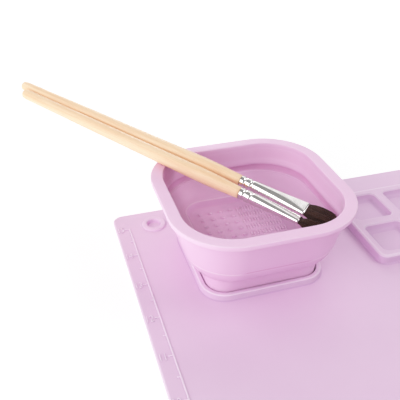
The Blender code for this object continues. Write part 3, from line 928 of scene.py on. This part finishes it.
def floor_nubs(bm, floor):
    """Round nubs on the left half of the floor and short ridges on the right half."""
    feet = []
    for row in range(NUB_ROWS):
        y = CUP_CENTRE[1] + (row - (NUB_ROWS - 1) / 2) * NUB_PITCH
        for column in range(NUB_COLUMNS):
            x = CUP_CENTRE[0] - (column + 0.5) * NUB_PITCH
            feet.append(nub(bm, (x, y), *NUB_SIZE, floor))
        for column in range(RIDGE_COLUMNS):
            x = CUP_CENTRE[0] + (column + RIDGE_START) * RIDGE_PITCH
            feet.append(nub(bm, (x, y), *RIDGE_SIZE, floor))
    return feet


def shade_groove(bm):
    """Marks the inside of the wall: painted shade in the groove, and painted light on the wall above it."""
    layer = bm.faces.layers.float["tone"]
    bm.normal_update()
    for face in bm.faces:
        middle = face.calc_center_median()
        outward = Vector((middle.x - CUP_CENTRE[0], middle.y - CUP_CENTRE[1], 0.0))
        height = (middle.z - SHEET_TOP) / MM
        if GROOVE_LOW < height < GROOVE_HIGH and face.normal.dot(outward) < 0:
            face[layer] = GROOVE_SHADE
        if GROOVE_HIGH < height < INSIDE_TOP and face.normal.dot(outward) < 0:
            face[layer] = INSIDE_LIGHT


def make_cup():
    bm = start_mesh()
    foot = soften(FOOT_INSIDE, FOOT_INSIDE_SOFTNESS) + soften(FOOT_OUTSIDE, FOOT_SOFTNESS)
    foot += HIDDEN_TOP + spline(PAN_INSIDE, PAN_STEPS)
    under, pan = skin(bm, cup_rings(foot))
    cap(bm, under, up=False)
    fill_flat(bm, [pan] + floor_nubs(bm, pan[0].co.z))
    base = make_piece("cup_foot_and_floor", bm, CUP_SILICONE, ["cup_base"],
                      sharp=SHARP_CUP)
    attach(base, "cup_base")

    outside = spline(OUTSIDE, SPAN_STEPS)
    split = OUTER_SPLIT * SPAN_STEPS
    bm = start_mesh()
    skin(bm, cup_rings(backed(outside[:split + 1], FOLD_THICKNESS)), closed=True,
         moulded=FOLD_EDGE_SHADING)
    outer_fold = make_piece("cup_outer_fold", bm, CUP_SILICONE, ["cup_fold_web"],
                            sharp=SHARP_CUP)
    centre = Vector((*CUP_CENTRE, SHEET_TOP))
    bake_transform(outer_fold, "cup_base", "cup_upper", start=centre + Vector((0, 0, OUTSIDE[0][2] * MM)),
             end=centre + Vector((0, 0, OUTSIDE[OUTER_SPLIT][2] * MM)))

    shoulder = spline(SHOULDER, SPAN_STEPS)
    bm = start_mesh()
    skin(bm, cup_rings(backed(shoulder, FOLD_THICKNESS)), closed=True)
    inner_fold = make_piece("cup_inner_fold", bm, CUP_SILICONE, ["cup_fold_web"],
                            sharp=SHARP_CUP)
    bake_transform(inner_fold, "cup_base", "cup_upper", start=centre + Vector((0, 0, SHOULDER[-1][2] * MM)),
             end=centre + Vector((0, 0, SHOULDER[0][2] * MM)))

    wall = outside[split:] + soften(RIM, RIM_SOFTNESS, RIM_STEPS)[1:]
    wall += spline(INSIDE, INSIDE_STEPS)[1:] + HIDDEN_BACK
    bm = start_mesh()
    skin(bm, cup_rings(wall), closed=True)
    shade_groove(bm)
    upper = make_piece("cup_wall_and_rim", bm, CUP_SILICONE, ["cup_upper_wall"],
                       sharp=SHARP_CUP)
    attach(upper, "cup_upper")


# ---------------------------------------------------------------- brushes

def section(along, half_width, half_thickness, power=2.0, shift=(0.0, 0.0), count=BRUSH_STEPS):
    """A superellipse across the brush, in millimetres."""
    points = []
    for step in range(count):
        angle = 2 * math.pi * step / count
        cosine, sine = math.cos(angle), math.sin(angle)
        wide = math.copysign(abs(cosine) ** (2 / power), cosine) * half_width + shift[0]
        thick = math.copysign(abs(sine) ** (2 / power), sine) * half_thickness + shift[1]
        points.append(Vector((along, wide, thick)) * MM)
    return points


def brush_matrix(point, along, heading, dip, roll):
    """From the brush's own frame, X from handle to hair and Y across the flat, to the mat's."""
    yaw, pitch = math.radians(heading), math.radians(dip)
    axis = Vector((math.cos(pitch) * math.cos(yaw), math.cos(pitch) * math.sin(yaw),
                   -math.sin(pitch)))
    side = Vector((-math.sin(yaw), math.cos(yaw), 0.0))
    turn = Matrix.Rotation(math.radians(roll), 3, axis)
    matrix = Matrix((axis, turn @ side, turn @ axis.cross(side))).transposed().to_4x4()
    matrix.translation = Vector(point) * MM - axis * along * MM
    return matrix


def handle_rings(length):
    shape = [(0.0, 0.3), (0.1, 0.9), (0.5, 1.75), (1.2, 2.4), (2.6, 2.8), (6.0, 2.95),
             (20.0, 3.05), (44.0, 3.3), (85.0, 3.62), (114.0, 3.85), (126.0, 3.93), (134.0, 3.8),
             (141.0, 3.5), (length - HANDLE_CHAMFER, HANDLE_END_RADIUS)]
    # The end face, then the tenon that goes into the ferrule
    end = [(length, HANDLE_FACE_RADIUS), (length, TENON_RADIUS),
           (length + TENON_LENGTH, TENON_RADIUS)]
    return [section(along, radius, radius) for along, radius in spline(shape, HANDLE_STEPS) + end]


def ferrule_shape(distance, length):
    """Half width, half thickness and height of the ferrule's flats, with its rolled crimps."""
    share = min(max((distance - FERRULE_ROUND) / (length - FERRULE_ROUND), 0.0), 1.0)
    cut = 0.0
    for crimp in CRIMPS:
        reach = abs(distance - crimp) / CRIMP_REACH
        if reach < 1.0:
            cut += CRIMP_DEPTH * math.cos(reach * math.pi / 2) ** 2
    half_width = FERRULE_RADIUS + FERRULE_SPREAD * share - cut
    half_thickness = FERRULE_RADIUS - FERRULE_THINNING * share - cut
    return half_width, half_thickness, PRESS_START - PRESS_DROP * share - cut


def pressed_section(along, half_width, half_thickness, press, shrink):
    """An ellipse across the ferrule, pressed flat at a height, less the shrink all round."""
    points = []
    for point in section(along, half_width - shrink, half_thickness - shrink):
        limit = (press - shrink) * MM
        point.z /= (1.0 + abs(point.z / limit) ** PRESS_SHARPNESS) ** (1.0 / PRESS_SHARPNESS)
        points.append(point)
    return points


def ferrule_rings(start, length):
    """Rings along the outside of the tube and back along its inside."""
    stations = [FERRULE_EDGE] + [CRIMP_STEP + CRIMP_STEP * k for k in range(CRIMP_STATIONS)]
    pressed = length - FERRULE_EDGE - FERRULE_ROUND
    stations += [FERRULE_ROUND + pressed * k / PRESS_STATIONS for k in range(1, PRESS_STATIONS + 1)]
    outside = [(0.0, FERRULE_EDGE)] + [(distance, 0.0) for distance in stations]
    outside.append((length, FERRULE_EDGE))
    inside_wall = [(distance, FERRULE_WALL) for distance, _ in outside[::-1]]
    return [pressed_section(start + distance, *ferrule_shape(distance, length), shrink)
            for distance, shrink in outside + inside_wall]


def tuft_shape(tuft, share):
    """Half width and half thickness of the hair, by its share of the free length."""
    shares = [row[0] for row in tuft]
    return (np.interp(share, shares, [row[1] for row in tuft]),
            np.interp(share, shares, [row[2] for row in tuft]))


def make_hair(name, values, matrix):
    """A dense core with a few hundred tapered hairs over it."""
    rng = random.Random(values["seed"])
    start = values["handle"] + FERRULE_GAP + values["ferrule"]
    hair, push, tuft = values["hair"], values["push"], values["tuft"]
    across = math.cos(math.radians(values["roll"]))
    out = -math.sin(math.radians(values["roll"]))
    bm = start_mesh()
    rings = []
    for share in CORE_SHARES:
        wide, thick = tuft_shape(tuft, max(share, 0.0))
        bend = push * max(share, 0.0) ** 2
        fill = CORE_FILL if share > 0 else ROOT_FILL
        rings.append(section(start + share * hair, wide * fill, thick * fill, CORE_POWER,
                             (bend * across, bend * out), CORE_STEPS))
    loops = [add_loop(bm, ring) for ring in rings]
    bridge(bm, loops)
    cap(bm, loops[0], up=False)
    cap(bm, loops[-1], up=True)
    for _ in range(HAIR_COUNT):
        angle = rng.uniform(0, 2 * math.pi)
        spread = math.sqrt(rng.uniform(HAIR_INNERMOST, 1.0))
        u, v = spread * math.cos(angle), spread * math.sin(angle)
        u = math.copysign(abs(u) ** HAIR_SQUARENESS, u)
        tip = 1.0 - TIP_ROUNDING * u * u - rng.uniform(0.0, TIP_RAGGEDNESS)
        drift = (rng.gauss(0, HAIR_DRIFT_ACROSS), rng.gauss(0, HAIR_DRIFT_OUT))
        thickness = rng.uniform(HAIR_THINNEST, HAIR_THICKEST)
        strand = []
        for step in range(HAIR_STEPS + 1):
            t = step / HAIR_STEPS
            share = -HAIR_ROOT + (tip + HAIR_ROOT) * t
            wide, thick = tuft_shape(tuft, max(share, 0.0))
            bend = push * max(share, 0.0) ** 2
            y = u * wide + bend * across + drift[0] * t * t
            z = v * thick + bend * out + drift[1] * t * t
            x = start + share * hair
            radius = thickness * (1 - HAIR_TAPER * t ** 2)
            strand.append([Vector((x, y + radius * math.cos(a), z + radius * math.sin(a))) * MM
                           for a in HAIR_TURNS])
        loops = [add_loop(bm, ring) for ring in strand]
        bridge(bm, loops)
        cap(bm, loops[0], up=False)
        cap(bm, loops[-1], up=True)
    return make_piece(name, bm, BRISTLE, [name.replace("_bristles", "_hair")],
                      matrix=matrix)


def capped(rings):
    bm = start_mesh()
    first, last = skin(bm, rings)
    cap(bm, first, up=False)
    cap(bm, last, up=True)
    return bm


def make_brush(side, values):
    name = side + "_brush"
    matrix = brush_matrix(*(values[key] for key in ("point", "along", "heading", "dip", "roll")))
    handle = make_piece(name + "_wood", capped(handle_rings(values["handle"])), BIRCH,
                        [name + "_handle"], sharp=SHARP_WOOD, matrix=matrix)
    bm = start_mesh()
    skin(bm, ferrule_rings(values["handle"] + FERRULE_GAP, values["ferrule"]), closed=True)
    ferrule = make_piece(name + "_tube", bm, NICKEL, [name + "_ferrule"],
                         sharp=SHARP_NICKEL, matrix=matrix)
    bristles = make_hair(name + "_bristles", values, matrix)
    for piece in (handle, ferrule, bristles):
        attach(piece, name)
    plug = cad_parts[name + "_glue_plug"]
    plug.data.materials.clear()
    plug.data.materials.append(GLUE)


# ---------------------------------------------------------------- light and floor

def make_floor():
    bm = bmesh.new()
    corners = [bm.verts.new((x * FLOOR_REACH, y * FLOOR_REACH, -FLOOR_DROP))
               for x, y in ((-1, -1), (1, -1), (1, 1), (-1, 1))]
    bm.faces.new(corners)
    mesh = bpy.data.meshes.new("studio_floor")
    bm.to_mesh(mesh)
    bm.free()
    mesh.materials.append(FLOOR_WHITE)
    floor = bpy.data.objects.new("studio_floor", mesh)
    bpy.context.scene.collection.objects.link(floor)


def make_softbox(name, turn, rise, side, power):
    """A square light around the object, at a compass turn and a rise above the table in degrees."""
    turn, rise = math.radians(turn), math.radians(rise)
    outward = Vector((math.cos(rise) * math.cos(turn), math.cos(rise) * math.sin(turn),
                      math.sin(rise)))
    light = bpy.data.lights.new(name, "AREA")
    light.shape = "SQUARE"
    light.size = side
    light.energy = power
    lamp = bpy.data.objects.new(name, light)
    bpy.context.scene.collection.objects.link(lamp)
    lamp.location = STUDIO_CENTRE + outward * SOFTBOX_REACH
    lamp.rotation_euler = outward.to_track_quat("Z", "Y").to_euler()


def make_studio():
    make_floor()
    for values in SOFTBOXES:
        make_softbox(*values)
    world = bpy.data.worlds.new("studio")
    bpy.context.scene.world = world
    world.use_nodes = True
    background = world.node_tree.nodes["Background"]
    background.inputs["Color"].default_value = (1.0, 1.0, 1.0, 1.0)
    background.inputs["Strength"].default_value = WORLD_LIGHT
    settings = bpy.context.scene.view_settings
    settings.view_transform = "Standard"
    settings.use_curve_mapping = True
    curves = settings.curve_mapping
    curves.white_level = (FILM_WHITE,) * 3
    film = curves.curves[3]
    for light, tone in FILM_CURVE:
        film.points.new(light / FILM_WHITE, tone)
    film.points[-1].location = (1.0, 1.0)
    curves.update()


make_mat()
make_cup()
for brush_side, brush_values in BRUSHES.items():
    make_brush(brush_side, brush_values)
make_studio()
